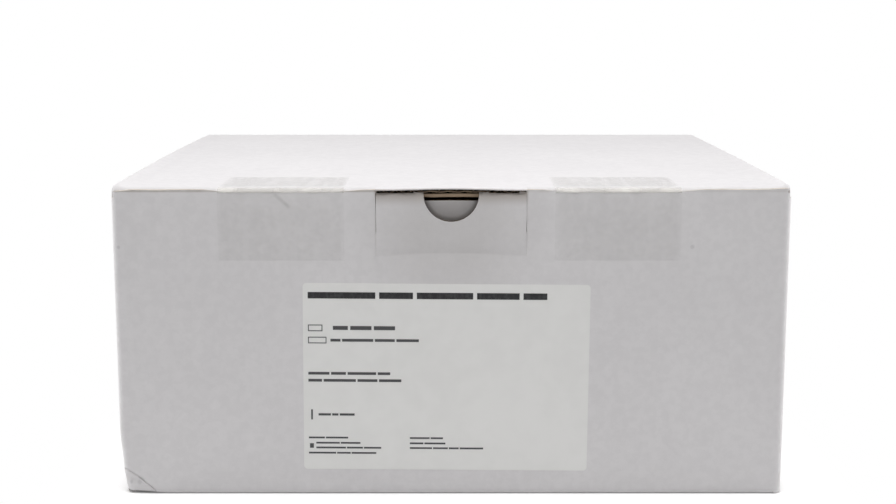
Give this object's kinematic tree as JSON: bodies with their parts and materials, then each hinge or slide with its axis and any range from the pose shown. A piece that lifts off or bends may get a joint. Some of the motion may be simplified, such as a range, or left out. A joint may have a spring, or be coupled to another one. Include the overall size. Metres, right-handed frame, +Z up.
{
  "type": "corrugated carton",
  "caption": "Closed white corrugated carton with a tuck-in lid, a thumb notch in its front tongue, strips of clear tape over the lid's edge and a plain printed label.",
  "frame": {"origin": "middle of the base, on the surface it stands on", "axes": "+X to the right of the labelled front wall, +Y from the front wall to the back wall, +Z up through the lid"},
  "size_m": [0.27, 0.2456, 0.1267],
  "materials": {
    "white_board": "matte white liner over brown corrugated board",
    "clear_tape": "clear film, slightly milky, semi-gloss",
    "label_paper": "smooth matte paper",
    "print_ink": "matte black ink"
  },
  "bodies": {
    "root": {"carton": "white_board", "tape_left": "clear_tape", "tape_right": "clear_tape", "label": "label_paper", "label_print": "print_ink"}
  },
  "joints": []
}
